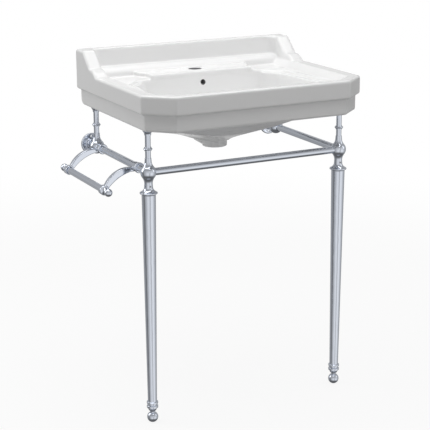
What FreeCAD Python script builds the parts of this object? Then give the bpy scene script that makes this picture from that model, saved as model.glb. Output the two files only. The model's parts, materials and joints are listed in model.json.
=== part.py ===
import FreeCAD, Part
import os
import math
import Sketcher

# Console sink with legs. Millimetres, +Z up, +X to the right, the wall is the plane Y = 0
# and the room lies towards -Y. The origin is midway between the two wall bolts, on the
# basin's back face. Inside each sub-part, heights are counted from the floor.

document = FreeCAD.newDocument("console_sink")

sizes = {
    # basin outline
    "basin_width": 610, "basin_depth": 468, "rim_height": 850, "wall_bolt_height": 790,
    "corner_cut_x": 64.7, "corner_cut_y": 56.5, "band_height": 46.5, "tier_height": 42.5,
    "tier_inset": 10, "edge_round": 5, "lip_round": 3, "corner_round": 8, "heel_round": 16,
    # backsplash and its side wings
    "splash_rise": 57, "splash_top": 20, "splash_lean": 10, "splash_cove": 26,
    "inner_round": 20, "top_round": 6,
    "wing_width": 36, "wing_top": 48, "wing_foot": 132, "wing_sweep_run": 41.3,
    "wing_sweep_rise": 16.5,
    # deck, bowl and tap ledge
    "rim_flat": 20, "deck_drop": 17, "deck_slope": 22, "deck_round": 6, "ledge_rise": 11,
    "ledge_width": 296, "ledge_round": 5,
    "bowl_width": 492, "bowl_back_width": 438, "bowl_back": 126, "bowl_front_wall": 50,
    "bowl_depth": 160, "bowl_lip": 6, "china_wall": 13, "back_wall": 18, "skirt_wall": 16,
    "cavity_depth": 54, "post_block": 37, "drain_from_wall": 193, "drain_bore": 45, "drain_seat": 62,
    "drain_boss": 65, "boss_drop": 33, "duct_width": 40,
    "tap_bore": 35, "tap_from_wall": 80, "overflow_bore": 14, "overflow_drop": 36,
    "duct_bore": 10, "duct_depth": 25, "duct_wall": 12, "outlet_rise": 18,
    "wall_bolt_bore": 16, "wall_bolt_spacing": 280,
    # frame
    "leg_span": 540.6, "leg_from_wall": 370, "rear_from_wall": 42.5, "hub_height": 653,
    "hub_ball": 39, "rail_tube": 18.5, "tube_wall": 1.5, "rail_stop": 11, "fit_gap": 0.1,
    "socket_rise": 36, "socket_rim": 15.8, "neck_drop": 39, "neck_width": 20.5, "neck_waist": 28,
    "spigot_bore": 12, "spigot_stop": 14, "post_stop": 14, "post_tube": 14, "bead_width": 22,
    "bead_height": 9, "bead_drop": 48, "pad_width": 25, "pad_height": 14, "pad_floor": 4,
    "cushion_height": 2,
    # legs and levelling feet
    "bell_width": 44, "bell_height": 17, "leg_top_width": 35, "leg_end_width": 23.2,
    "leg_end_height": 57, "leg_wall": 1.5, "ankle_width": 29, "ankle_height": 25,
    "ring_height": 6.5, "foot_ball": 28.4, "foot_flat": 7, "foot_neck_width": 13,
    "foot_gap": 3, "stud_width": 10, "stud_play": 0.05, "stud_reach": 30,
    "plug_length": 25, "set_screw": 5, "set_screw_key": 2.9,
    # wall stubs and flanges
    "stub_tube": 18.5, "flange_width": 56, "flange_depth": 14, "flange_rim": 5,
    "flange_boss": 28, "flange_screw_bore": 5, "flange_screw_spacing": 40,
    # towel bar on the left side rail
    "towel_x": 359.5, "towel_height": 604, "towel_tube": 17, "towel_rear": 66,
    "towel_front": 299, "arm_thickness": 12, "arm_root_depth": 12, "arm_tip_depth": 11,
    "arm_bend": 71, "arm_hollow": 106, "sleeve_width": 23, "sleeve_length": 21, "sleeve_lip": 27,
    "eye_width": 24, "eye_length": 14, "knob_ball": 20, "knob_reach": 32, "knob_neck": 10,
}

sheet = document.addObject("Spreadsheet::Sheet", "Sizes")
for row, (alias, number) in enumerate(sizes.items(), start=1):
    sheet.set("A%d" % row, alias)
    sheet.set("B%d" % row, str(number))
    sheet.setAlias("B%d" % row, alias)
document.recompute()


class Dim:
    """A length that knows its number and the sheet expression that it comes from."""

    def __init__(self, number, text):
        self.number = number
        self.text = text

    def __add__(self, other):
        other = dim(other)
        return Dim(self.number + other.number, "(%s + %s)" % (self.text, other.text))

    def __sub__(self, other):
        other = dim(other)
        return Dim(self.number - other.number, "(%s - %s)" % (self.text, other.text))

    def __mul__(self, factor):
        return Dim(self.number * factor, "(%s * %r)" % (self.text, factor))

    def __truediv__(self, divisor):
        return Dim(self.number / divisor, "(%s / %r)" % (self.text, divisor))

    def __neg__(self):
        return Dim(-self.number, "(-1 * %s)" % self.text)

    def __radd__(self, other):
        return dim(other) + self

    def __rsub__(self, other):
        return dim(other) - self


def dim(value):
    """Numbers become lengths without a cell of their own; lengths pass through."""
    return value if isinstance(value, Dim) else Dim(float(value), repr(float(value)))


def size(alias):
    return Dim(float(sheet.get(alias)), "Sizes." + alias)


def bind(target, path, value):
    target.setExpression(path, dim(value).text)


# ---- sketches -------------------------------------------------------------------------

def origin_plane(body, role):
    for feature in body.Origin.OriginFeatures:
        if feature.Role == role:
            return feature
    raise RuntimeError("no " + role)


def new_sketch(body, name, role, lift=0):
    """A sketch on one of the body's own planes, lifted along the plane's normal."""
    sketch = body.newObject("Sketcher::SketchObject", name)
    sketch.AttachmentSupport = [(origin_plane(body, role), "")]
    sketch.MapMode = "FlatFace"
    bind(sketch, ".AttachmentOffset.Base.z", lift)
    return sketch


def middle_of_arc(start, end, radius):
    """The arc's middle point; a positive radius bulges to the right of start to end."""
    chord = end - start
    half = chord.Length / 2
    reach = max(abs(radius), half)
    rise = reach - math.sqrt(reach * reach - half * half)
    right = FreeCAD.Vector(chord.y, -chord.x, 0).normalize()
    return (start + end) * 0.5 + right * math.copysign(rise, radius)


def draw(sketch, points):
    """A closed outline. A point is (x, y), or (x, y, radius) if an arc leads to it."""
    corners = [FreeCAD.Vector(dim(p[0]).number, dim(p[1]).number, 0) for p in points]
    edges = []
    for index, point in enumerate(points):
        start, end = corners[index - 1], corners[index]
        if len(point) == 3:
            middle = middle_of_arc(start, end, dim(point[2]).number)
            edge = sketch.addGeometry(Part.Arc(start, middle, end), False)
            radius = dim(point[2])
            radius = radius if radius.number > 0 else -radius
            sketch.addConstraint(Sketcher.Constraint("Radius", edge, radius.number))
            bind(sketch, "Constraints[%d]" % (sketch.ConstraintCount - 1), radius)
        else:
            edge = sketch.addGeometry(Part.LineSegment(start, end), False)
        starts_here = (sketch.getPoint(edge, 1) - start).Length < (sketch.getPoint(edge, 1) - end).Length
        edges.append((edge, 1, 2) if starts_here else (edge, 2, 1))
    for index, point in enumerate(points):
        edge, _, tail = edges[index]
        following, head, _ = edges[(index + 1) % len(edges)]
        sketch.addConstraint(Sketcher.Constraint("Coincident", edge, tail, following, head))
        for kind, axis, value in (("DistanceX", -2, point[0]), ("DistanceY", -1, point[1])):
            if dim(value).number == 0:
                sketch.addConstraint(Sketcher.Constraint("PointOnObject", edge, tail, axis))
            else:
                sketch.addConstraint(Sketcher.Constraint(kind, edge, tail, dim(value).number))
                bind(sketch, "Constraints[%d]" % (sketch.ConstraintCount - 1), value)
    return sketch


def draw_circle(sketch, x, y, radius):
    circle = Part.Circle(FreeCAD.Vector(dim(x).number, dim(y).number, 0), FreeCAD.Vector(0, 0, 1),
                         dim(radius).number)
    edge = sketch.addGeometry(circle, False)
    sketch.addConstraint(Sketcher.Constraint("Radius", edge, dim(radius).number))
    bind(sketch, "Constraints[%d]" % (sketch.ConstraintCount - 1), radius)
    for kind, axis, value in (("DistanceX", -2, x), ("DistanceY", -1, y)):
        if dim(value).number == 0:
            sketch.addConstraint(Sketcher.Constraint("PointOnObject", edge, 3, axis))
        else:
            sketch.addConstraint(Sketcher.Constraint(kind, edge, 3, dim(value).number))
            bind(sketch, "Constraints[%d]" % (sketch.ConstraintCount - 1), value)
    return sketch


# ---- features -------------------------------------------------------------------------

up = FreeCAD.Rotation()
along_y = FreeCAD.Rotation(FreeCAD.Vector(1, 0, 0), -90)   # local +Z points to the wall
along_x = FreeCAD.Rotation(FreeCAD.Vector(0, 1, 0), 90)    # local +Z points to the right
along_y_back = FreeCAD.Rotation(FreeCAD.Vector(1, 0, 0), 90)
duct_lean = math.radians(16)   # the overflow duct runs down and a little forwards
duct_fall = FreeCAD.Rotation(FreeCAD.Vector(1, 0, 0), 180 - math.degrees(duct_lean))
finished = []


def new_body(label, place=(0, 0, 0), turn=up):
    """A body whose own origin stands at place, which is counted from the floor."""
    body = document.addObject("PartDesign::Body", label)
    body.Label = label
    x, y, z = place
    locate(body, (x, y, z - size("wall_bolt_height")), turn)
    finished.append(body)
    return body


def locate(item, place, turn=up):
    item.Placement = FreeCAD.Placement(FreeCAD.Vector(*[dim(v).number for v in place]), turn)
    for axis, value in zip("xyz", place):
        bind(item, ".Placement.Base." + axis, value)


def pad(body, sketch, length, midplane=False):
    feature = body.newObject("PartDesign::Pad", sketch.Name + "_pad")
    feature.Profile = sketch
    feature.Midplane = midplane
    bind(feature, "Length", length)
    return feature


def pocket(body, sketch, length, midplane=False, reverse=False):
    feature = body.newObject("PartDesign::Pocket", sketch.Name + "_pocket")
    feature.Profile = sketch
    feature.Midplane = midplane
    feature.Reversed = reverse
    bind(feature, "Length", length)
    return feature


def loft(body, kind, sketches, ruled=False):
    feature = body.newObject("PartDesign::" + kind, sketches[0].Name + "_loft")
    feature.Profile = sketches[0]
    feature.Sections = sketches[1:]
    feature.Ruled = ruled
    return feature


def turned(body, name, profile):
    """A revolve about the body's Z axis of an outline of (radius, height) points."""
    sketch = draw(new_sketch(body, name, "XZ_Plane"), profile)
    feature = body.newObject("PartDesign::Revolution", name + "_turn")
    feature.Profile = sketch
    feature.ReferenceAxis = (sketch, ["V_Axis"])
    feature.Angle = 360
    return feature


def bore(body, name, place, turn, radius, length):
    feature = body.newObject("PartDesign::SubtractiveCylinder", name)
    bind(feature, "Radius", radius)
    bind(feature, "Height", length)
    locate(feature, place, turn)
    return feature


def soften(body, name, radius, wanted):
    """Rounds the edges of the last feature that wanted(edge) picks."""
    document.recompute()
    base = body.Tip
    edges = ["Edge%d" % number for number, edge in enumerate(base.Shape.Edges, start=1)
             if wanted(edge)]
    if not edges:
        raise RuntimeError("no edges for " + name)
    feature = body.newObject("PartDesign::Fillet", name)
    feature.Base = (base, edges)
    bind(feature, "Radius", radius)
    document.recompute()
    return feature


def close_to(value, target, slack=0.05):
    return abs(value - target) < slack


def level(edge, height):
    return close_to(edge.BoundBox.ZMin, height.number) and close_to(edge.BoundBox.ZMax, height.number)


def upright(edge):
    start, end = edge.Vertexes[0].Point, edge.Vertexes[-1].Point
    return close_to(start.x, end.x) and close_to(start.y, end.y) and abs(start.z - end.z) > 1


# ---- basin ----------------------------------------------------------------------------

def basin_outline(side, ahead=None, back=0):
    """Straight back, straight sides and two cut front corners, drawn in by the insets."""
    ahead = side if ahead is None else ahead
    half = size("basin_width") / 2 - side
    front = size("basin_depth") - ahead
    closing = (dim(side) + ahead) * 0.293
    cut_x = size("corner_cut_x") - closing
    cut_y = size("corner_cut_y") - closing
    return [(half, -dim(back)), (-half, -dim(back)), (-half, cut_y - front),
            (cut_x - half, -front), (half - cut_x, -front), (half, cut_y - front)]


def sweep_radius(run, rise):
    """Radius of an arc that starts level and gains rise over run."""
    number = (run.number ** 2 + rise.number ** 2) / (2 * rise.number)
    return Dim(number, "((%s ^ 2 + %s ^ 2) / (2 * %s))" % (run.text, rise.text, rise.text))


def bowl_outline(rear_half, front_half, back, front, back_cut, front_cut):
    """Eight-sided plan, wider in front than at the wall side, with all corners cut."""
    return [(rear_half - back_cut, -back), (back_cut - rear_half, -back), (-rear_half, -back - back_cut),
            (-front_half, front_cut - front), (front_cut - front_half, -front),
            (front_half - front_cut, -front), (front_half, front_cut - front),
            (rear_half, -back - back_cut)]


def ahead_of_drain(length):
    """A length drawn for a bowl that reaches 225 mm ahead of its drain, fitted to the real reach."""
    reach = size("basin_depth") - size("bowl_front_wall") - size("drain_from_wall")
    return reach * (length / 225)


def bowl_lip(flare):
    """The bowl's plan at the deck, let out at the sides and the front only."""
    return bowl_outline(size("bowl_back_width") / 2 + flare, size("bowl_width") / 2 + flare,
                        size("bowl_back"), size("basin_depth") - size("bowl_front_wall") + flare,
                        ahead_of_drain(34), ahead_of_drain(52))


def bowl_sections(grow):
    """The bowl's inner shape from the rim down to the drain seat, grown by the wall.

    Each step is: share of the depth, how far the sides, the back and the front have come
    in, and the cut of the rear and of the front corners. The last step rings the drain.
    """
    rear_half = size("bowl_back_width") / 2
    front_half = size("bowl_width") / 2
    back = size("bowl_back")
    front = size("basin_depth") - size("bowl_front_wall")
    depth = size("bowl_depth")
    seat = size("drain_seat") / 2
    drain = size("drain_from_wall")
    steps = [(0.0, 0, 0, 0, 34, 52), (0.35, 12, 6, 22, 38, 62), (0.60, 20, 14, 92, 46, 54),
             (0.79, 100, 24, 125, 48, 66), (0.91, 152, 32, 164, 40, 60)]
    sections = []
    for share, side_in, back_in, front_in, back_cut, front_cut in steps:
        lean = 1 - side_in / 168
        sections.append((depth * share,
                         bowl_outline(rear_half - side_in - (1 - lean) * 2 + grow,
                                      front_half - side_in - (1 - lean) * 18 + grow,
                                      back + back_in - grow, front - ahead_of_drain(front_in) + grow,
                                      ahead_of_drain(back_cut) + grow * 0.6,
                                      ahead_of_drain(front_cut) + grow * 0.6)))
    corner = seat * 0.6
    sections.append((depth, bowl_outline(seat + grow, seat + grow, drain - seat - grow, drain + seat + grow,
                                         corner + grow * 0.6, corner + grow * 0.6)))
    return sections


def make_basin():
    rim = size("rim_height")
    half = size("basin_width") / 2
    depth = size("basin_depth")
    band_foot = rim - size("band_height")
    tier_foot = band_foot - size("tier_height")
    splash_head = rim + size("splash_rise")
    deck = rim - size("deck_drop")
    wing = size("wing_width")
    china = size("china_wall")
    drain = size("drain_from_wall")
    body = new_body("basin")

    pad(body, draw(new_sketch(body, "tier", "XY_Plane", tier_foot),
                   basin_outline(size("tier_inset"))), size("tier_height"))
    pad(body, draw(new_sketch(body, "band", "XY_Plane", band_foot), basin_outline(0)),
        size("band_height"))

    # Backsplash: the side profile runs the full width, then its middle is cut back.
    wing_foot = size("wing_foot")
    sweep_end = wing_foot - size("wing_sweep_run")
    pad(body, draw(new_sketch(body, "wings", "YZ_Plane"),
                   [(dim(0), band_foot), (dim(0), splash_head), (-size("wing_top"), splash_head),
                    (-sweep_end, rim + size("wing_sweep_rise")),
                    (-wing_foot, rim, sweep_radius(size("wing_sweep_run"), size("wing_sweep_rise"))),
                    (-wing_foot, band_foot)]), half * 2, midplane=True)
    in_front = -wing_foot.number
    soften(body, "heel", size("heel_round"), lambda edge: edge.BoundBox.ZMax < tier_foot.number + 0.1
           and edge.BoundBox.YMin > -0.1)
    soften(body, "corners", size("corner_round"),
           lambda edge: upright(edge) and edge.BoundBox.YMax < in_front)
    soften(body, "soles", size("edge_round"),
           lambda edge: edge.BoundBox.ZMax < band_foot.number - 1
           and not (edge.BoundBox.XLength > size("basin_width").number * 0.9
                    and edge.BoundBox.YMin > in_front))
    inside_band = half.number - size("tier_inset").number + 1
    soften(body, "band_lip", size("lip_round"),
           lambda edge: level(edge, band_foot) and edge.BoundBox.YMin < in_front
           and (abs(edge.BoundBox.XMax) > inside_band or abs(edge.BoundBox.XMin) > inside_band
                or edge.BoundBox.YMin < 1 - depth.number))
    face = size("splash_top")
    face_foot = face + size("splash_lean")
    pocket(body, draw(new_sketch(body, "splash_face", "YZ_Plane"),
                      [(-face, splash_head + 1), (-face_foot, rim), (-wing_foot - 1, rim),
                       (-wing_foot - 1, splash_head + 1)]),
           (half - wing) * 2, midplane=True)
    soften(body, "inner_corners", size("inner_round"),
           lambda edge: close_to(edge.BoundBox.ZMin, rim.number)
           and close_to(edge.BoundBox.ZMax, splash_head.number)
           and close_to(edge.BoundBox.YMin, -face_foot.number))

    # The deck falls from the flat rim to the bowl, all inside the rim.
    slope = size("deck_slope")
    upper = basin_outline(wing, size("rim_flat"), back=face_foot)
    lower = basin_outline(wing + slope, size("rim_flat") + slope, back=face_foot + 3)
    loft(body, "SubtractiveLoft",
         [draw(new_sketch(body, "deck_rim", "XY_Plane", rim), upper),
          draw(new_sketch(body, "deck_floor", "XY_Plane", deck), lower)], ruled=True)
    soften(body, "deck_foot", size("deck_round"),
           lambda edge: level(edge, deck) and edge.BoundBox.YMin < in_front)
    cove = size("splash_cove")
    pad(body, draw(new_sketch(body, "splash_cove", "YZ_Plane"),
                   [(-face_foot + 6, deck - 3), (-face_foot + 6, deck + cove),
                    (-face_foot, deck + cove), (-face_foot - cove, deck, cove),
                    (-face_foot - cove, deck - 3)]), (half - wing) * 2, midplane=True)

    # Tap ledge, between the backsplash and the bowl.
    ledge_half = size("ledge_width") / 2
    ledge_end = ledge_half + 16
    pad(body, draw(new_sketch(body, "ledge", "XY_Plane", deck - 4),
                   [(ledge_end, -face), (-ledge_end, -face), (-ledge_end, -face_foot - 42),
                    (-ledge_half, -face_foot - 60), (-ledge_half, -size("bowl_back") - 10),
                    (ledge_half, -size("bowl_back") - 10), (ledge_half, -face_foot - 60),
                    (ledge_end, -face_foot - 42)]), size("ledge_rise") + 4)

    # Open underside, a block over each post, and the bowl's belly.
    skirt = size("tier_inset") + size("skirt_wall")
    pocket(body, draw(new_sketch(body, "cavity", "XY_Plane", tier_foot),
                      basin_outline(skirt, back=size("back_wall"))), size("cavity_depth"), reverse=True)
    for name, x, y in post_places():
        block = draw_circle(new_sketch(body, "block_" + name, "XY_Plane", tier_foot), x, y,
                            size("post_block") / 2)
        pad(body, block, size("cavity_depth") + 1)
    sections = []
    for number, (drop, outline) in enumerate(bowl_sections(china)):
        height = deck - 2 if number == 0 else rim - drop - china
        sections.append(draw(new_sketch(body, "belly_%d" % number, "XY_Plane", height), outline))
    loft(body, "AdditiveLoft", sections)
    floor = rim - size("bowl_depth")
    boss_foot = floor - size("boss_drop")
    boss = draw_circle(new_sketch(body, "boss", "XY_Plane", boss_foot), 0, -drain,
                       size("drain_boss") / 2)
    pad(body, boss, size("boss_drop") - 2)
    rear = size("bowl_back")
    rib = -rear + size("duct_depth")
    pad(body, draw(new_sketch(body, "duct", "YZ_Plane"),
                   [(-rear - 6, deck - 6), (rib, deck - 6), (rib, deck - 70),
                    (-drain + 44, boss_foot + 8), (-drain, boss_foot + 8),
                    (-drain, floor), (-rear - 30, deck - 90)]), size("duct_width"), midplane=True)

    # The bowl itself.
    sections = [draw(new_sketch(body, "bowl_%d" % number, "XY_Plane", rim - drop), outline)
                for number, (drop, outline) in enumerate(bowl_sections(dim(0)))]
    loft(body, "SubtractiveLoft", sections)
    lip = size("bowl_lip")
    flares = [(deck, lip), (deck - lip * 0.35, lip * 0.3), (deck - lip, dim(0))]
    loft(body, "SubtractiveLoft",
         [draw(new_sketch(body, "lip_%d" % number, "XY_Plane", height), bowl_lip(flare))
          for number, (height, flare) in enumerate(flares)])
    bore(body, "drain_hole", (dim(0), -drain, boss_foot - 1), up, size("drain_bore") / 2,
         size("bowl_depth"))

    # Overflow: a mouth in the bowl's back, a duct down the rib, and an outlet in the drain.
    duct = size("duct_bore") / 2
    duct_head = rib - size("duct_wall")
    mouth_height = rim - size("overflow_drop")
    outlet_height = boss_foot + size("outlet_rise")
    fall = mouth_height - outlet_height
    bore(body, "overflow_mouth", (dim(0), -rear - 17, mouth_height), along_y,
         size("overflow_bore") / 2, rear + 17 + duct_head + duct)
    bore(body, "overflow_duct", (dim(0), duct_head, mouth_height), duct_fall, duct,
         fall / math.cos(duct_lean))
    bore(body, "overflow_outlet", (dim(0), -drain, outlet_height), along_y, duct,
         drain + duct_head - fall * math.tan(duct_lean) + duct)
    bore(body, "tap_hole", (dim(0), -size("tap_from_wall"), deck - 40), up, size("tap_bore") / 2, dim(80))
    for side in (-0.5, 0.5):
        bore(body, "wall_bolt_hole", (size("wall_bolt_spacing") * side, -size("back_wall") - 1,
                                      size("wall_bolt_height")), along_y,
             size("wall_bolt_bore") / 2, size("back_wall") + 2)

    # Softened rims.
    inner_side = (half - wing).number
    soften(body, "tops", size("top_round"),
           lambda edge: is_top_edge(edge.BoundBox, rim, splash_head, in_front, inner_side))
    ledge_top = deck + size("ledge_rise")
    soften(body, "ledge_front", size("ledge_round"),
           lambda edge: level(edge, ledge_top) and edge.BoundBox.XLength > ledge_half.number
           and edge.BoundBox.YMax < -size("tap_from_wall").number)
    return body


def is_top_edge(box, rim, splash_head, in_front, inner_side):
    """True for the outer and inner edges of the flat rim, the wings and the backsplash."""
    if close_to(box.ZMin, splash_head.number):
        return True
    if close_to(box.ZMin, rim.number) and close_to(box.ZMax, rim.number):
        return box.YMax < in_front + 0.5
    at_wing = min(abs(box.XMin), abs(box.XMax)) > inner_side - 1
    behind_face = box.YMax > in_front / 4
    return at_wing and box.ZMin > rim.number - 1 and box.YMin > in_front - 1 and not behind_face


def post_places():
    """Name and plan place of the four posts, front and rear, left and right."""
    side = size("leg_span") / 2
    places = []
    for row, back in (("front", size("leg_from_wall")), ("rear", size("rear_from_wall"))):
        for hand, sign in (("left", -1), ("right", 1)):
            places.append(("%s_%s" % (row, hand), side * sign, -back))
    return places


# ---- frame ----------------------------------------------------------------------------

def hub_heights(rear):
    """Distances of the hub casting's features from its centre, and its outline."""
    ball = size("hub_ball") / 2
    socket = size("socket_rim") / 2
    rise = size("socket_rise")
    if rear:
        foot = [(dim(0), -ball), (ball, dim(0), ball)]
    else:
        neck = size("neck_width") / 2
        foot = [(dim(0), -size("neck_drop")), (neck + 0.8, -size("neck_drop")),
                (neck, -size("neck_waist")), (ball - 4.5, -ball + 6.5, dim(-26)),
                (ball, dim(0), ball)]
    return foot + [(ball - 4.2, ball - 7.0, ball), (socket + 0.9, rise - 11, dim(-24)),
                   (socket, rise), (dim(0), rise)]


def make_hub(name, x, y):
    """Cast ball joint: post socket above, rail sockets, and on a front hub the leg neck."""
    rear = name.startswith("rear")
    body = new_body(name + "_hub", (x, y, size("hub_height")))
    turned(body, "hub", hub_heights(rear))
    gap = size("fit_gap")
    tube = size("rail_tube") / 2 + gap
    stop = size("rail_stop")
    deep = size("hub_ball")
    bore(body, "post_socket", (dim(0), dim(0), size("post_stop")), up, size("post_tube") / 2 + gap, deep)
    if rear:
        bore(body, "rail_socket", (dim(0), -stop - deep, dim(0)), along_y, tube, deep)
        bore(body, "stub_socket", (dim(0), stop, dim(0)), along_y, size("stub_tube") / 2 + gap, deep)
    else:
        bore(body, "side_socket", (dim(0), stop, dim(0)), along_y, tube, deep)
        inward = stop if name.endswith("left") else -stop - deep
        bore(body, "front_socket", (inward, dim(0), dim(0)), along_x, tube, deep)
        bore(body, "leg_socket", (dim(0), dim(0), -size("neck_drop") - 1), up,
             size("spigot_bore") / 2 + gap, size("neck_drop") - size("spigot_stop") + 1)
        bore(body, "screw_hole", (dim(0), -deep, screw_height()), along_y, size("set_screw") / 2 + gap,
             deep - size("spigot_bore") / 2)
    return body


def screw_height():
    """The leg's set screw sits midway down the neck, below the hub's centre."""
    return -(size("neck_drop") + size("neck_waist")) / 2


def make_post(name, x, y):
    """Post tube, its bead, the pad that carries the basin and the pad's cushion."""
    hub = size("hub_height")
    pad_top = size("rim_height") - size("band_height") - size("tier_height") - size("cushion_height")
    pad_foot = pad_top - size("pad_height")
    tube = size("post_tube") / 2
    gap = size("fit_gap")
    length = pad_top - size("pad_floor") - hub - size("post_stop")
    body = new_body(name + "_post", (x, y, hub + size("post_stop")))
    turned(body, "post", ring(tube - size("tube_wall"), tube, length))

    bead = size("bead_width") / 2
    body = new_body(name + "_bead", (x, y, pad_top - size("bead_drop")))
    half = size("bead_height") / 2
    turned(body, "bead", [(tube + gap, -half), (tube + 1.6, -half), (tube + 1.6, dim(-2.6)),
                          (bead, dim(0), dim(2.9)), (tube + 1.6, dim(2.6), dim(2.9)),
                          (tube + 1.6, half), (tube + gap, half)])

    body = new_body(name + "_pad", (x, y, pad_foot))
    wide = size("pad_width") / 2
    tall = size("pad_height")
    turned(body, "pad", [(tube + gap, dim(0)), (tube + 1.4, dim(0)), (tube + 1.4, dim(2)),
                         (wide, tall - 4, dim(-12)), (wide, tall), (dim(0), tall),
                         (dim(0), tall - size("pad_floor")), (tube + gap, tall - size("pad_floor"))])

    body = new_body(name + "_cushion", (x, y, pad_top))
    turned(body, "cushion", disc(wide - 1, size("cushion_height")))


def make_set_screws():
    """The screws that hold the two legs in the hub necks, one group."""
    screws = []
    radius = size("set_screw") / 2
    spigot = size("spigot_bore") / 2
    length = size("neck_width") / 2 - spigot
    for name, x, y in post_places()[:2]:
        place = (x, y - spigot - length, size("hub_height") + screw_height() - size("wall_bolt_height"))
        shank = document.addObject("Part::Cylinder", "shank")
        bind(shank, "Radius", radius)
        bind(shank, "Height", length)
        locate(shank, place, along_y)
        key = document.addObject("Part::Prism", "key")
        key.Polygon = 6
        bind(key, "Circumradius", size("set_screw_key") / 2)
        bind(key, "Height", length / 2)
        locate(key, place, along_y)
        screw = document.addObject("Part::Cut", "screw")
        screw.Base = shank
        screw.Tool = key
        screws.append(screw)
    group = document.addObject("Part::Compound", "set_screws")
    group.Label = "set_screws"
    group.Links = screws
    finished.append(group)


def ring(inner, outer, length):
    return [(inner, dim(0)), (outer, dim(0)), (outer, length), (inner, length)]


def disc(radius, height):
    return [(dim(0), dim(0)), (radius, dim(0)), (radius, height), (dim(0), height)]


def make_rails():
    """Front rail between the front hubs, and one rail along each side."""
    side = size("leg_span") / 2
    stop = size("rail_stop")
    hub = size("hub_height")
    outer = size("rail_tube") / 2
    inner = outer - size("tube_wall")
    body = new_body("front_rail", (stop - side, -size("leg_from_wall"), hub), along_x)
    turned(body, "rail", ring(inner, outer, side * 2 - stop * 2))
    length = size("leg_from_wall") - size("rear_from_wall") - stop * 2
    for hand, sign in (("left", -1), ("right", 1)):
        body = new_body(hand + "_rail", (side * sign, stop - size("leg_from_wall"), hub), along_y)
        turned(body, "rail", ring(inner, outer, length))


def make_wall_fixing(hand, sign):
    """Stub from the rear hub to the wall, and the dished flange around its end."""
    x = size("leg_span") / 2 * sign
    hub = size("hub_height")
    outer = size("stub_tube") / 2
    gap = size("fit_gap")
    length = size("rear_from_wall") - size("rail_stop")
    body = new_body(hand + "_wall_stub", (x, -length, hub), along_y)
    turned(body, "stub", disc(outer, length))

    body = new_body(hand + "_wall_flange", (x, -size("flange_depth"), hub), along_y)
    wide = size("flange_width") / 2
    deep = size("flange_depth")
    boss = size("flange_boss") / 2
    turned(body, "flange", [(outer + gap, dim(0)), (boss - 2, dim(0)), (boss, dim(2), dim(2)),
                            (boss, deep - 5), (boss + 2.5, deep - 3.5, dim(-3)),
                            (wide - size("flange_rim"), deep - 5, dim(-30)),
                            (wide, deep - 3.5, dim(3.2)), (wide, deep), (outer + gap, deep)])
    for end in (-0.5, 0.5):
        bore(body, "screw_hole", (dim(0), size("flange_screw_spacing") * end, dim(0)), up,
             size("flange_screw_bore") / 2, deep)


# ---- legs and levelling feet ----------------------------------------------------------

def make_leg(hand, sign):
    x = size("leg_span") / 2 * sign
    y = -size("leg_from_wall")
    hub = size("hub_height")
    gap = size("fit_gap")
    wall = size("leg_wall")
    collar_top = hub - size("neck_drop")
    leg_top = collar_top - size("bell_height")
    leg_end = size("leg_end_height")
    top = size("leg_top_width") / 2
    end = size("leg_end_width") / 2
    spigot = size("spigot_bore") / 2
    neck = size("neck_width") / 2 + 0.8
    bell = size("bell_width") / 2
    plug = size("plug_length")

    # Collar: spigot into the hub's neck above, bell, and a plug into the leg below.
    tall = size("bell_height")
    body = new_body(hand + "_leg_collar", (x, y, leg_top))
    turned(body, "collar", [(dim(0), -plug), (top - wall - 1.2, -plug), (top - wall - gap, dim(0)),
                            (top, dim(0)), (top + 1, dim(2.4), dim(-3)), (bell - 0.8, dim(3.2)),
                            (bell, dim(5.0), dim(1.6)), (bell - 1.2, dim(7.0), dim(1.8)),
                            (neck, tall, dim(-17)), (spigot, tall),
                            (spigot, tall + size("neck_drop") - size("spigot_stop")),
                            (dim(0), tall + size("neck_drop") - size("spigot_stop"))])

    body = new_body(hand + "_leg", (x, y, leg_end))
    length = leg_top - leg_end
    turned(body, "leg", [(end - wall, dim(0)), (end, dim(0)), (top, length), (top - wall, length)])

    # Ankle: two rings with a groove between them, and a threaded bore from below.
    ankle = size("ankle_width") / 2
    tall = size("ankle_height")
    lip = size("ring_height")
    stud = size("stud_width") / 2
    body = new_body(hand + "_ankle", (x, y, leg_end - tall))
    turned(body, "ankle", [(stud + size("stud_play"), dim(0)), (end - 2.6, dim(0)),
                           (end - 1.2, dim(3), dim(6)),
                           (ankle - 1, tall - lip * 2 - 5, dim(-9)), (ankle, tall - lip * 2 - 4, dim(1.4)),
                           (ankle, tall - lip - 6), (ankle - 1, tall - lip - 5, dim(1.4)),
                           (end, tall - lip - 3.5), (end, tall - lip - 1),
                           (ankle - 1, tall - lip), (ankle, tall - lip + 1, dim(1.4)),
                           (ankle, tall - 2), (ankle - 1, tall - 1, dim(1.4)), (end, tall),
                           (end - wall - gap, tall), (end - wall - gap, tall + plug),
                           (stud + size("stud_play"), tall + plug)])
    return body


def make_foot(hand, sign):
    """Ball foot on a threaded stud that screws up into the ankle."""
    x = size("leg_span") / 2 * sign
    y = -size("leg_from_wall")
    ball = size("foot_ball") / 2
    flat = size("foot_flat") / 2
    neck = size("foot_neck_width") / 2
    stud = size("stud_width") / 2
    play = size("stud_play")
    ankle_foot = size("leg_end_height") - size("ankle_height")
    top = ankle_foot - size("foot_gap")
    middle = ball_height(ball, flat)
    shoulder = middle + ball_height(ball, neck)
    socket = middle
    body = new_body(hand + "_foot", (x, y, dim(0)))
    turned(body, "foot", [(dim(0), dim(0)), (flat, dim(0)), (ball, middle, ball), (neck, shoulder, ball),
                          (neck, top), (stud + play, top), (stud + play, socket), (dim(0), socket)])

    body = new_body(hand + "_foot_stud", (x, y, socket))
    turned(body, "stud", disc(stud, ankle_foot - socket + size("stud_reach")))


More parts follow.
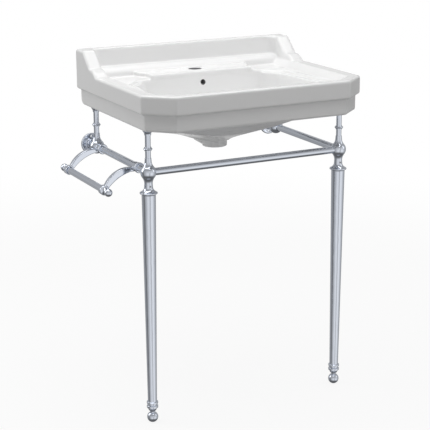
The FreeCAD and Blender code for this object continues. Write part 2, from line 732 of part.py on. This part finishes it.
def ball_height(radius, chord):
    """Distance from a ball's centre to the plane that cuts a circle of radius chord."""
    number = math.sqrt(radius.number ** 2 - chord.number ** 2)
    return Dim(number, "sqrt(%s ^ 2 - %s ^ 2)" % (radius.text, chord.text))


# ---- towel bar ------------------------------------------------------------------------

def make_towel_rail():
    side = -size("leg_span") / 2
    bar_x = -size("towel_x")
    hub = size("hub_height")
    height = size("towel_height")
    rail = size("rail_tube") / 2
    gap = size("fit_gap")
    bar = size("towel_tube") / 2
    eye = size("eye_width") / 2
    reach = size("knob_reach")
    for row in ("rear", "front"):
        y = -size("towel_" + row)
        body = new_body(row + "_towel_arm", (side, y, hub))
        sleeve = size("sleeve_width") / 2
        length = size("sleeve_length")
        thick = size("arm_thickness")
        sleeve_sketch = draw_circle(new_sketch(body, "sleeve", "XZ_Plane", -thick / 2), 0, 0, sleeve)
        pad(body, sleeve_sketch, length)
        drop = height - hub
        out = bar_x - side
        pad(body, draw(new_sketch(body, "arm", "XZ_Plane", 0), arm_outline(out, drop)), thick,
            midplane=True)
        eye_sketch = draw_circle(new_sketch(body, "eye", "XZ_Plane", 0), out, drop, eye)
        pad(body, eye_sketch, size("eye_length"), midplane=True)
        bore(body, "rail_hole", (dim(0), -length, dim(0)), along_y, rail + gap, length * 2)
        bore(body, "bar_hole", (out, -length, drop), along_y, bar + gap, length * 2)

        lip = size("sleeve_lip") / 2
        body = new_body(row + "_sleeve_ring", (side, y + thick / 2 - length - 5, hub), along_y)
        turned(body, "ring", [(rail + gap, dim(0)), (lip - 2, dim(0)), (lip, dim(2.5), dim(2.6)),
                              (lip - 2, dim(5), dim(2.6)), (rail + gap, dim(5))])

    length = size("towel_front") - size("towel_rear") + size("eye_length")
    body = new_body("towel_bar", (bar_x, -size("towel_front") - size("eye_length") / 2, height), along_y)
    turned(body, "bar", ring(bar - size("tube_wall"), bar, length))

    knob = size("knob_ball") / 2
    neck = size("knob_neck") / 2
    for row, sign, turn in (("rear", 1, along_y), ("front", -1, along_y_back)):
        y = -size("towel_" + row) + size("eye_length") / 2 * sign
        body = new_body(row + "_towel_knob", (bar_x, y, height), turn)
        centre = reach - size("eye_length") / 2
        seat = centre - ball_height(knob, neck)
        turned(body, "knob", [(dim(0), dim(0)), (eye - 1, dim(0)), (eye, dim(1.5), dim(1.6)),
                              (eye - 1, dim(3), dim(1.6)), (neck, seat, dim(-9)),
                              (knob, centre, knob), (dim(0), centre + knob, knob)])


def arm_outline(out, drop):
    """Swan neck seen from the front: level under the rail and falling steeply at the bar."""
    low = 0.5 - size("sleeve_width") / 2
    root = size("arm_root_depth")
    tip = size("arm_tip_depth")
    inner_tip = out + tip * 0.9
    outer_tip = inner_tip - tip
    hollow = spanning(size("arm_hollow"), inner_tip - out * 0.2, drop - low)
    bend = spanning(size("arm_bend"), outer_tip - out * 0.24, drop - low - root)
    return [(dim(0), low + root), (dim(0), low), (out * 0.2, low), (inner_tip, drop, hollow),
            (outer_tip, drop), (out * 0.24, low + root, -bend)]


def spanning(radius, run, rise):
    """The radius, let out where an arc of it couldn't span the run and the rise."""
    number = max(radius.number, 0.52 * math.hypot(run.number, rise.number))
    return Dim(number, "max(%s; 0.52 * sqrt(%s ^ 2 + %s ^ 2))" % (radius.text, run.text, rise.text))


make_basin()
for name, x, y in post_places():
    make_hub(name, x, y)
    make_post(name, x, y)
make_rails()
for hand, sign in (("left", -1), ("right", 1)):
    make_wall_fixing(hand, sign)
    make_leg(hand, sign)
    make_foot(hand, sign)
make_towel_rail()

make_set_screws()

document.recompute()
for item in document.Objects:
    if "Invalid" in item.State or "Error" in item.State:
        raise RuntimeError("bad state: " + item.Name)
for piece in finished:
    if piece.Shape.isNull() or not piece.Shape.isValid():
        raise RuntimeError("bad shape: " + piece.Label)
    print(piece.Label, round(piece.Shape.Volume / 1000, 1), "cm3", len(piece.Shape.Solids), "solid")

os.makedirs("parts", exist_ok=True)
for piece in finished:
    piece.Shape.exportStep("parts/%s.step" % piece.Label)
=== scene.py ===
import json
import math
import bpy
from mathutils import Matrix, Vector


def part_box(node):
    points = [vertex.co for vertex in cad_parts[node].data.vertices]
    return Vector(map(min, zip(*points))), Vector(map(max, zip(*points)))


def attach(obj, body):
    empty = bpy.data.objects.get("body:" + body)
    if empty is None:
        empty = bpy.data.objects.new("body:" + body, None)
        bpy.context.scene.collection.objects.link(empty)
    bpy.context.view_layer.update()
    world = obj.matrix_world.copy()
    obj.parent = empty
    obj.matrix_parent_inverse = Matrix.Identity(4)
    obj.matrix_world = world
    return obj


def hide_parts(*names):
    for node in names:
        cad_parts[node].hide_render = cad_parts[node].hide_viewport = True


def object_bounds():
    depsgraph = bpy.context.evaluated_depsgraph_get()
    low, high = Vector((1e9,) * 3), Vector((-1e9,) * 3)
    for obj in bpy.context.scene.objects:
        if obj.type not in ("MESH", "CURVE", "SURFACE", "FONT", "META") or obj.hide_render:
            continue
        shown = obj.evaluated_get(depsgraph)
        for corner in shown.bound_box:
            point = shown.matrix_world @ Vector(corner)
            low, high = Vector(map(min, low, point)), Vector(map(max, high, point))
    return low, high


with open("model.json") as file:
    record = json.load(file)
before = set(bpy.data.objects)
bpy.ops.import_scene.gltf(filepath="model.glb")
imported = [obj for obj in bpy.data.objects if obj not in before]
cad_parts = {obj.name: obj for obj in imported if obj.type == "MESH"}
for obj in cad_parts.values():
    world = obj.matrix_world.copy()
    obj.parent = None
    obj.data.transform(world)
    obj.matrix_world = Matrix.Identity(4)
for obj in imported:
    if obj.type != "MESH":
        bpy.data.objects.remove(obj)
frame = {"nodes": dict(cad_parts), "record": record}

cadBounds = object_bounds()
scene = bpy.context.scene
print("stage: frame loaded,", len(frame["nodes"]), "nodes")


# ways of working that every piece shares

def deselectAll():
    bpy.ops.object.select_all(action="DESELECT")


def selectOnly(piece):
    deselectAll()
    piece.select_set(True)
    bpy.context.view_layer.objects.active = piece


def applyModifier(piece, kind, **settings):
    modifier = piece.modifiers.new(kind, kind)
    for name, value in settings.items():
        setattr(modifier, name, value)
    selectOnly(piece)
    bpy.ops.object.modifier_apply(modifier=modifier.name)


def applyPlace(piece):
    selectOnly(piece)
    bpy.ops.object.transform_apply(location=True, rotation=True, scale=True)


def newest(pieceName):
    piece = bpy.context.object
    piece.name = pieceName
    piece.data.name = pieceName
    return piece


def joinOnto(piece, extra):
    selectOnly(piece)
    extra.select_set(True)
    bpy.ops.object.join()


def mergedCopy(nodeName, pieceName, gap=0.00001):
    # the CAD mesh is loose triangles; a copy of it is joined so that it can be smoothed
    piece = frame["nodes"][nodeName].copy()
    piece.data = piece.data.copy()
    piece.name = pieceName
    piece.data.name = pieceName
    piece.parent = None
    for key in list(piece.keys()):
        del piece[key]
    scene.collection.objects.link(piece)
    selectOnly(piece)
    bpy.ops.mesh.customdata_custom_splitnormals_clear()
    bpy.ops.object.mode_set(mode="EDIT")
    bpy.ops.mesh.select_all(action="SELECT")
    bpy.ops.mesh.remove_doubles(threshold=gap)
    bpy.ops.object.mode_set(mode="OBJECT")
    return piece


def castEdges(piece, cast):
    # an even mesh that is then relaxed lets the edges melt into each other, as casting does
    applyModifier(piece, "REMESH", mode="VOXEL", voxel_size=cast["voxel"], use_smooth_shade=True)
    applyModifier(piece, "SMOOTH", factor=cast["relax"], iterations=cast["melt"])
    applyModifier(piece, "DECIMATE", ratio=cast["keep"])
    selectOnly(piece)
    bpy.ops.object.shade_smooth()


def setMaterial(piece, material):
    piece.data.materials.clear()
    piece.data.materials.append(material)


def finishPiece(piece, material, slotName, bodyName, *replaced):
    setMaterial(piece, material)
    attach(piece, bodyName)
    if replaced:
        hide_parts(*replaced)


# shader maths: a Wire is one socket, and sums of wires add Math nodes

class Wire:
    def __init__(self, graph, socket):
        self.graph = graph
        self.socket = socket

    def maths(self, operation, first, second):
        return self.graph.add("ShaderNodeMath", {"operation": operation}, {0: first, 1: second})

    def __add__(self, other):
        return self.maths("ADD", self, other)

    def __radd__(self, other):
        return self.maths("ADD", other, self)

    def __sub__(self, other):
        return self.maths("SUBTRACT", self, other)

    def __rsub__(self, other):
        return self.maths("SUBTRACT", other, self)

    def __mul__(self, other):
        return self.maths("MULTIPLY", self, other)

    def __rmul__(self, other):
        return self.maths("MULTIPLY", other, self)

    def __gt__(self, other):
        return self.maths("GREATER_THAN", self, other)

    def __lt__(self, other):
        return self.maths("LESS_THAN", self, other)

    def most(self, other):
        return self.maths("MAXIMUM", self, other)


class Graph:
    def __init__(self, owner):
        owner.use_nodes = True
        self.tree = owner.node_tree
        self.tree.nodes.clear()

    def add(self, kind, settings, inputs, output=0):
        node = self.tree.nodes.new(kind)
        for name, value in settings.items():
            if name == "stops":
                self.setStops(node.color_ramp, value)
            else:
                setattr(node, name, value)
        for name, value in inputs.items():
            if isinstance(value, Wire):
                self.tree.links.new(value.socket, node.inputs[name])
            else:
                node.inputs[name].default_value = value
        if not node.outputs:
            return node
        return Wire(self, node.outputs[output])

    def setStops(self, ramp, stops):
        while len(ramp.elements) < len(stops):
            ramp.elements.new(1.0)
        for element, (place, colour) in zip(ramp.elements, stops):
            element.position = place
            element.color = colour

    def noise(self, where, scale, detail, roughness=0.5):
        return self.add("ShaderNodeTexNoise", {},
                        {"Vector": where, "Scale": scale, "Detail": detail, "Roughness": roughness},
                        "Fac")

    def blend(self, amount, first, second):
        return self.add("ShaderNodeMix", {"data_type": "RGBA"},
                        {"Factor": amount, "A": first, "B": second}, "Result")

    def bump(self, height, strength, distance):
        return self.add("ShaderNodeBump", {},
                        {"Height": height, "Strength": strength, "Distance": distance}, "Normal")

    def objectPlace(self):
        return self.add("ShaderNodeTexCoord", {}, {}, "Object")

    def separate(self, vector, axis):
        return self.add("ShaderNodeSeparateXYZ", {}, {0: vector}, axis)

    def along(self, vector, direction):
        return self.add("ShaderNodeVectorMath", {"operation": "DOT_PRODUCT"},
                        {0: vector, 1: direction}, "Value")

    def fromAxis(self, place, middle, across):
        # distance from a line through middle, counted only in the directions that across keeps
        offset = self.add("ShaderNodeVectorMath", {"operation": "MULTIPLY_ADD"},
                          {0: place, 1: across, 2: tuple(-part for part in middle)})
        return self.add("ShaderNodeVectorMath", {"operation": "LENGTH"}, {0: offset}, "Value")

    def smooth(self, value, low, high):
        return self.add("ShaderNodeMapRange", {"interpolation_type": "SMOOTHSTEP"},
                        {"Value": value, "From Min": low, "From Max": high})

    def background(self, colour, strength):
        return self.add("ShaderNodeBackground", {}, {"Color": colour, "Strength": strength})

    def mixShaders(self, amount, first, second):
        return self.add("ShaderNodeMixShader", {}, {0: amount, 1: first, 2: second})

    def principled(self, sockets):
        shader = self.add("ShaderNodeBsdfPrincipled", {}, sockets)
        self.add("ShaderNodeOutputMaterial", {}, {"Surface": shader})


def newMaterial(materialName):
    material = bpy.data.materials.new(materialName)
    return material, Graph(material)


def grey(level):
    return (level, level, level, 1.0)


# finishes

glaze = {"colour": (0.922, 0.922, 0.920, 1.0), "milky": (0.902, 0.903, 0.902, 1.0),
         "cloud": 6.0, "cloudDetail": 3.0, "ripple": 28.0, "rippleDetail": 1.5,
         "roughness": 0.07, "cloudRoughness": 0.05, "bend": 1.52,
         "coat": 0.35, "coatRoughness": 0.04, "bump": 0.12, "bumpDepth": 0.0006}
bisque = {"colour": (0.72, 0.69, 0.63, 1.0), "from": -0.0012, "speck": 420.0, "speckDetail": 2.0,
          "cover": 0.75, "speckCover": 0.25, "roughness": 0.55, "speckDepth": 0.6}
tapHole = {"middle": (0.0, -0.08, 0.0), "across": (1.0, 1.0, 0.0), "radius": 0.0182,
           "top": 0.0525}
overflow = {"middle": (0.0, 0.0, 0.024), "across": (1.0, 0.0, 1.0), "radius": 0.0072,
            "front": -0.175, "rear": -0.090}
holeTone = (0.24, 0.24, 0.245, 1.0)     # the shade deep inside both holes


def makeGlaze():
    material, graph = newMaterial("glaze")
    place = graph.objectPlace()
    cloud = graph.noise(place, glaze["cloud"], glaze["cloudDetail"])
    speck = graph.noise(place, bisque["speck"], bisque["speckDetail"])
    bare = graph.separate(place, "Y") > bisque["from"]     # the back is left unglazed
    colour = graph.blend(cloud, glaze["colour"], glaze["milky"])
    colour = graph.blend(bare * (bisque["cover"] + speck * bisque["speckCover"]),
                         colour, bisque["colour"])
    inTap = ((graph.fromAxis(place, tapHole["middle"], tapHole["across"]) < tapHole["radius"])
             * (graph.separate(place, "Z") < tapHole["top"]))
    inMouth = ((graph.fromAxis(place, overflow["middle"], overflow["across"]) < overflow["radius"])
               * (graph.separate(place, "Y") > overflow["front"])
               * (graph.separate(place, "Y") < overflow["rear"]))
    colour = graph.blend(inTap.most(inMouth), colour, holeTone)
    roughness = (glaze["roughness"] + cloud * glaze["cloudRoughness"]
                 + bare * bisque["roughness"])
    ripple = graph.noise(place, glaze["ripple"], glaze["rippleDetail"])
    height = ripple + bare * speck * bisque["speckDepth"]
    graph.principled({
        "Base Color": colour, "Roughness": roughness, "IOR": glaze["bend"],
        "Coat Weight": glaze["coat"], "Coat Roughness": glaze["coatRoughness"],
        "Normal": graph.bump(height, glaze["bump"], glaze["bumpDepth"])})
    return material


chrome = {"colour": (0.705, 0.740, 0.810, 1.0), "shade": (0.655, 0.695, 0.775, 1.0),
          "cloud": 4.0, "cloudDetail": 2.0,
          "smudge": 16.0, "smudgeDetail": 6.0, "smudgeGrit": 0.62, "smudgeRoughness": 0.05,
          "polish": 900.0, "polishDetail": 2.0, "polishRoughness": 0.02, "polishDepth": 0.15,
          "roughness": 0.060, "bump": 0.03, "bumpDepth": 0.0004}


def makeChrome():
    material, graph = newMaterial("chrome")
    place = graph.objectPlace()
    cloud = graph.noise(place, chrome["cloud"], chrome["cloudDetail"])
    smudge = graph.noise(place, chrome["smudge"], chrome["smudgeDetail"], chrome["smudgeGrit"])
    polish = graph.noise(place, chrome["polish"], chrome["polishDetail"])
    graph.principled({
        "Base Color": graph.blend(cloud, chrome["colour"], chrome["shade"]),
        "Metallic": 1.0,
        "Roughness": (chrome["roughness"] + smudge * chrome["smudgeRoughness"]
                      + polish * chrome["polishRoughness"]),
        "Normal": graph.bump(smudge + polish * chrome["polishDepth"],
                             chrome["bump"], chrome["bumpDepth"])})
    return material


zinc = {"colour": (0.50, 0.505, 0.52, 1.0), "dull": (0.36, 0.365, 0.38, 1.0),
        "grain": 260.0, "grainDetail": 5.0, "grainGrit": 0.6, "grainRoughness": 0.22,
        "bloom": 60.0, "bloomDetail": 3.0, "roughness": 0.30, "bump": 0.2, "bumpDepth": 0.0002}


def makeZinc():
    material, graph = newMaterial("zinc")
    place = graph.objectPlace()
    grain = graph.noise(place, zinc["grain"], zinc["grainDetail"], zinc["grainGrit"])
    bloom = graph.noise(place, zinc["bloom"], zinc["bloomDetail"])
    graph.principled({
        "Base Color": graph.blend(bloom, zinc["colour"], zinc["dull"]),
        "Metallic": 1.0,
        "Roughness": zinc["roughness"] + grain * zinc["grainRoughness"],
        "Normal": graph.bump(grain, zinc["bump"], zinc["bumpDepth"])})
    return material


rubber = {"colour": (0.030, 0.030, 0.032, 1.0), "bloom": (0.060, 0.060, 0.062, 1.0),
          "grain": 700.0, "grainDetail": 4.0, "grainGrit": 0.6, "grainRoughness": 0.15,
          "roughness": 0.62, "bump": 0.3, "bumpDepth": 0.0002}


def makeRubber():
    material, graph = newMaterial("rubber")
    place = graph.objectPlace()
    grain = graph.noise(place, rubber["grain"], rubber["grainDetail"], rubber["grainGrit"])
    graph.principled({
        "Base Color": graph.blend(grain, rubber["colour"], rubber["bloom"]),
        "Roughness": rubber["roughness"] + grain * rubber["grainRoughness"],
        "Normal": graph.bump(grain, rubber["bump"], rubber["bumpDepth"])})
    return material


finishes = {"china": makeGlaze(), "chrome": makeChrome(), "steel": makeZinc(),
            "rubber": makeRubber()}
slotOf = {entry["node"]: entry["material_slot"] for entry in frame["record"]["subparts"]}
bodyOf = {node: body for body, nodes in frame["record"]["behaviour"]["bodies"].items()
          for node in nodes}
for nodeName, node in frame["nodes"].items():
    setMaterial(node, finishes[slotOf[nodeName]])
print("stage: finishes made")


# basin: its edges melt into each other as cast china does

basin = {"voxel": 0.0024, "relax": 0.5, "melt": 6, "keep": 0.39}
rib = {"width": 0.040, "rear": -0.104, "front": -0.166, "foot": -0.133, "toe": -0.137,
       "head": -0.040, "heelY": -0.150, "heelZ": -0.123, "round": 0.004, "roundSteps": 3}


def addRib(piece):
    # the overflow channel's foot fills the corner behind the drain boss
    deselectAll()
    bpy.ops.mesh.primitive_cube_add(size=rib["width"], location=(0, 0, 0))
    block = newest("rib")
    corners = {(1, -1): (rib["rear"], rib["foot"]), (1, 1): (rib["rear"], rib["head"]),
               (-1, 1): (rib["heelY"], rib["heelZ"]), (-1, -1): (rib["front"], rib["toe"])}
    for vertex in block.data.vertices:
        corner = (int(math.copysign(1, vertex.co.y)), int(math.copysign(1, vertex.co.z)))
        vertex.co.y, vertex.co.z = corners[corner]
    applyModifier(block, "BEVEL", width=rib["round"], segments=rib["roundSteps"],
                  limit_method="ANGLE")
    joinOnto(piece, block)


def makeBasin():
    piece = mergedCopy("basin", "basin_glazed")
    addRib(piece)
    castEdges(piece, basin)
    finishPiece(piece, finishes["china"], "china", "stand", "basin")
    return piece


made = makeBasin()
print("stage: basin,", len(made.data.polygons), "faces")


# towel arms: cast, so that their edges are rounded away

arm = {"voxel": 0.0007, "relax": 0.5, "melt": 26, "keep": 0.5}


def makeArm(nodeName):
    piece = mergedCopy(nodeName, nodeName + "_cast")
    castEdges(piece, arm)
    finishPiece(piece, finishes["chrome"], slotOf[nodeName], bodyOf[nodeName], nodeName)


for nodeName in ("rear_towel_arm", "front_towel_arm"):
    makeArm(nodeName)
print("stage: towel arms cast")


# frame: every turned piece keeps its CAD shape and gets smooth polished faces

polish = {"crease": math.radians(32), "flatFacesFirst": 60}
ownShape = ("basin", "left_foot_stud", "right_foot_stud", "rear_towel_arm", "front_towel_arm")


def makePolished(nodeName):
    piece = mergedCopy(nodeName, nodeName + "_polished")
    selectOnly(piece)
    bpy.ops.object.shade_smooth_by_angle(angle=polish["crease"], keep_sharp_edges=False)
    applyModifier(piece, "WEIGHTED_NORMAL", keep_sharp=True, weight=polish["flatFacesFirst"])
    finishPiece(piece, finishes[slotOf[nodeName]], slotOf[nodeName], bodyOf[nodeName], nodeName)


for nodeName in sorted(frame["nodes"]):
    if nodeName not in ownShape:
        makePolished(nodeName)
print("stage: frame polished")


# levelling studs: a turned thread that shows as the feet are screwed out

thread = {"outer": 0.0050, "root": 0.00415, "pitch": 0.0015, "steps": 28, "tip": 0.0008,
          "tipSteps": 2, "sunk": 0.97, "halfTooth": 0.42, "plainTips": 2,
          "crease": math.radians(30)}


def makeStud(nodeName):
    low, high = (Vector(corner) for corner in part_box(nodeName))
    centre = (low + high) / 2
    length = high.z - low.z
    plain = thread["plainTips"] * thread["tip"]     # left without a thread at each end
    deselectAll()
    bpy.ops.mesh.primitive_cylinder_add(vertices=thread["steps"], radius=thread["root"],
                                        depth=length, location=centre)
    core = newest(nodeName + "_thread")
    applyPlace(core)
    applyModifier(core, "BEVEL", width=thread["tip"], segments=thread["tipSteps"],
                  limit_method="ANGLE")

    # one tooth of the thread, as a thin triangle that the screw modifier carries up the core
    deselectAll()
    bpy.ops.mesh.primitive_circle_add(vertices=3, radius=thread["pitch"] * 0.5,
                                      location=(0, 0, 0), rotation=(math.radians(90), 0, 0))
    tooth = newest("tooth")
    applyPlace(tooth)
    root = thread["root"] * thread["sunk"]
    corners = ((root, -thread["halfTooth"]), (thread["outer"], 0.0), (root, thread["halfTooth"]))
    for vertex, (across, along) in zip(tooth.data.vertices, corners):
        vertex.co = (across, 0.0, along * thread["pitch"])
    turns = int((length - 2 * plain) / thread["pitch"])
    applyModifier(tooth, "SCREW", screw_offset=thread["pitch"], iterations=turns,
                  steps=thread["steps"], render_steps=thread["steps"], use_smooth_shade=True)
    bpy.ops.object.mode_set(mode="EDIT")
    bpy.ops.mesh.select_all(action="DESELECT")
    bpy.ops.mesh.select_mode(type="EDGE")
    bpy.ops.mesh.select_non_manifold()
    bpy.ops.mesh.fill()
    bpy.ops.mesh.select_all(action="SELECT")
    bpy.ops.mesh.normals_make_consistent(inside=False)
    bpy.ops.object.mode_set(mode="OBJECT")
    tooth.data.transform(Matrix.Translation((centre.x, centre.y, low.z + plain)))

    joinOnto(core, tooth)
    selectOnly(core)
    bpy.ops.object.shade_smooth_by_angle(angle=thread["crease"])
    finishPiece(core, finishes["steel"], "steel", bodyOf[nodeName], nodeName)


for nodeName in ("left_foot_stud", "right_foot_stud"):
    makeStud(nodeName)
print("stage: studs threaded")


# studio

floorSheet = {"size": 30.0, "drop": 0.0002, "colour": grey(0.93), "bounce": grey(0.58),
              "clearFrom": 0.8, "clearTo": 2.4, "clearAtLeast": 0.88}

# tones of the room as polished metal sees them, all the way round: the backdrop is at both
# ends, the side that the front faces is in the middle, and grey flags stand between them
roomTones = [(0.000, grey(0.60)), (0.015, grey(0.60)), (0.022, grey(0.42)), (0.128, grey(0.44)),
             (0.230, grey(0.33)), (0.295, grey(0.16)), (0.345, grey(0.46)), (0.400, grey(0.62)),
             (0.452, grey(0.86)), (0.500, grey(0.94)), (0.538, grey(0.80)), (0.571, grey(0.50)),
             (0.602, grey(0.94)), (0.640, grey(1.00)), (0.690, grey(0.93)), (0.747, grey(0.66)),
             (0.795, grey(0.50)), (0.872, grey(0.38)), (0.978, grey(0.40)), (0.985, grey(0.60))]

# the room: its middle and right-hand directions, and the heights at which its tones change
room = {"ambient": 0.30, "overhead": grey(0.42), "underfoot": grey(0.15), "haze": grey(0.56),
        "hazeShare": 0.5, "hazeFrom": -0.12, "hazeTo": 0.10, "overheadFrom": 0.20,
        "overheadTo": 0.70, "underfootFrom": 0.38, "underfootTo": 0.82,
        "towards": (-0.4546, -0.8907, 0.0), "across": (0.8907, -0.4546, 0.0)}


def roomTone(graph, way):
    across = graph.along(way, room["across"])
    towards = graph.along(way, room["towards"])
    turn = across.maths("ARCTAN2", across, towards)
    share = turn * (0.5 / math.pi) + 0.5     # a full turn is counted from 0 to 1
    return graph.add("ShaderNodeValToRGB", {"stops": roomTones}, {0: share})


def lightRays(graph, *kinds):
    rays = [graph.add("ShaderNodeLightPath", {}, {}, kind) for kind in kinds]
    total = rays[0]
    for ray in rays[1:]:
        total = total.most(ray)
    return total


def makeFloor():
    deselectAll()
    bpy.ops.mesh.primitive_plane_add(size=floorSheet["size"],
                                     location=(0, 0, cadBounds[0][2] - floorSheet["drop"]))
    floor = newest("floor")
    applyPlace(floor)
    material, graph = newMaterial("floorPaper")
    place = graph.objectPlace()
    reach = graph.fromAxis(place, (0.0, 0.0, 0.0), (1.0, 1.0, 0.0))
    fade = graph.smooth(reach, floorSheet["clearFrom"], floorSheet["clearTo"])
    fade = fade * (1 - floorSheet["clearAtLeast"]) + floorSheet["clearAtLeast"]
    paper = graph.add("ShaderNodeBsdfDiffuse", {}, {"Color": floorSheet["colour"]})
    glow = graph.add("ShaderNodeEmission", {}, {"Color": grey(1.0), "Strength": 1.0})
    seen = graph.mixShaders(fade, paper, glow)
    # polished metal looks through the floor, at the tones that the world gives it
    through = graph.add("ShaderNodeBsdfTransparent", {}, {})
    dim = graph.add("ShaderNodeBsdfDiffuse", {}, {"Color": floorSheet["bounce"]})
    unseen = graph.mixShaders(lightRays(graph, "Is Glossy Ray"), dim, through)
    shown = lightRays(graph, "Is Camera Ray", "Is Transmission Ray")
    graph.add("ShaderNodeOutputMaterial", {}, {"Surface": graph.mixShaders(shown, unseen, seen)})
    setMaterial(floor, material)


def makeWorld():
    world = bpy.data.worlds.new("studioRoom")
    scene.world = world
    graph = Graph(world)
    way = graph.add("ShaderNodeTexCoord", {}, {}, "Generated")
    height = graph.separate(way, "Z")
    around = roomTone(graph, way)
    hazy = graph.blend(room["hazeShare"], around, room["haze"])
    tone = graph.blend(graph.smooth(height, room["hazeFrom"], room["hazeTo"]), around, hazy)
    tone = graph.blend(graph.smooth(height, room["overheadFrom"], room["overheadTo"]),
                       tone, room["overhead"])
    tone = graph.blend(graph.smooth(0 - height, room["underfootFrom"], room["underfootTo"]),
                       tone, room["underfoot"])
    white = graph.background(grey(1.0), 1.0)
    mirrored = graph.background(tone, 1.0)
    ambient = graph.background(grey(1.0), room["ambient"])
    unseen = graph.mixShaders(lightRays(graph, "Is Glossy Ray"), ambient, mirrored)
    shown = lightRays(graph, "Is Camera Ray", "Is Transmission Ray")
    graph.add("ShaderNodeOutputWorld", {}, {"Surface": graph.mixShaders(shown, unseen, white)})


softboxes = {
    "overhead": {"place": (-0.10, -0.30, 1.80), "aim": (0.0, -0.2, 0.0), "size": (2.6, 2.2),
                 "watts": 34.5},
    "leftBox": {"place": (-2.3, 1.1, 0.9), "aim": (0.0, -0.2, 0.0), "size": (1.1, 2.0),
                "watts": 17.5},
    "rightFill": {"place": (2.6, -1.7, 0.9), "aim": (0.0, -0.2, -0.1), "size": (1.0, 1.8),
                  "watts": 4.5},
    "frontFill": {"place": (-0.6, -3.4, 0.7), "aim": (0.0, -0.2, -0.1), "size": (1.0, 1.8),
                  "watts": 1.0},
}


def makeSoftbox(lampName, lamp):
    data = bpy.data.lights.new(lampName, "AREA")
    data.shape = "RECTANGLE"
    data.size, data.size_y = lamp["size"]
    data.energy = lamp["watts"]
    piece = bpy.data.objects.new(lampName, data)
    piece.location = lamp["place"]
    aim = Vector(lamp["aim"]) - Vector(lamp["place"])
    piece.rotation_euler = aim.to_track_quat("-Z", "Y").to_euler()
    scene.collection.objects.link(piece)


makeFloor()
makeWorld()
for lampName, lamp in softboxes.items():
    makeSoftbox(lampName, lamp)
print("stage: studio lit")


# camera

view = {"target": (-0.02873, -0.25, -0.3052), "azimuth": -27.04, "elevation": 15.65,
        "roll": -0.23, "distance": 3.40595, "lens": 109.3, "sensor": 36.0, "sightEnd": 100.0}


def makeCamera():
    azimuth = math.radians(view["azimuth"])
    elevation = math.radians(view["elevation"])
    back = Vector((math.sin(azimuth) * math.cos(elevation),
                   -math.cos(azimuth) * math.cos(elevation),
                   math.sin(elevation)))
    data = bpy.data.cameras.new("view")
    data.lens = view["lens"]
    data.sensor_width = view["sensor"]
    data.clip_end = view["sightEnd"]
    piece = bpy.data.objects.new("view", data)
    place = Matrix.Translation(Vector(view["target"]) + back * view["distance"])
    turn = (-back).to_track_quat("-Z", "Y").to_matrix().to_4x4()
    roll = Matrix.Rotation(math.radians(view["roll"]), 4, "Z")
    piece.matrix_world = place @ turn @ roll
    scene.collection.objects.link(piece)
    scene.camera = piece


makeCamera()
scene.view_settings.view_transform = "Standard"
print("stage: camera set")
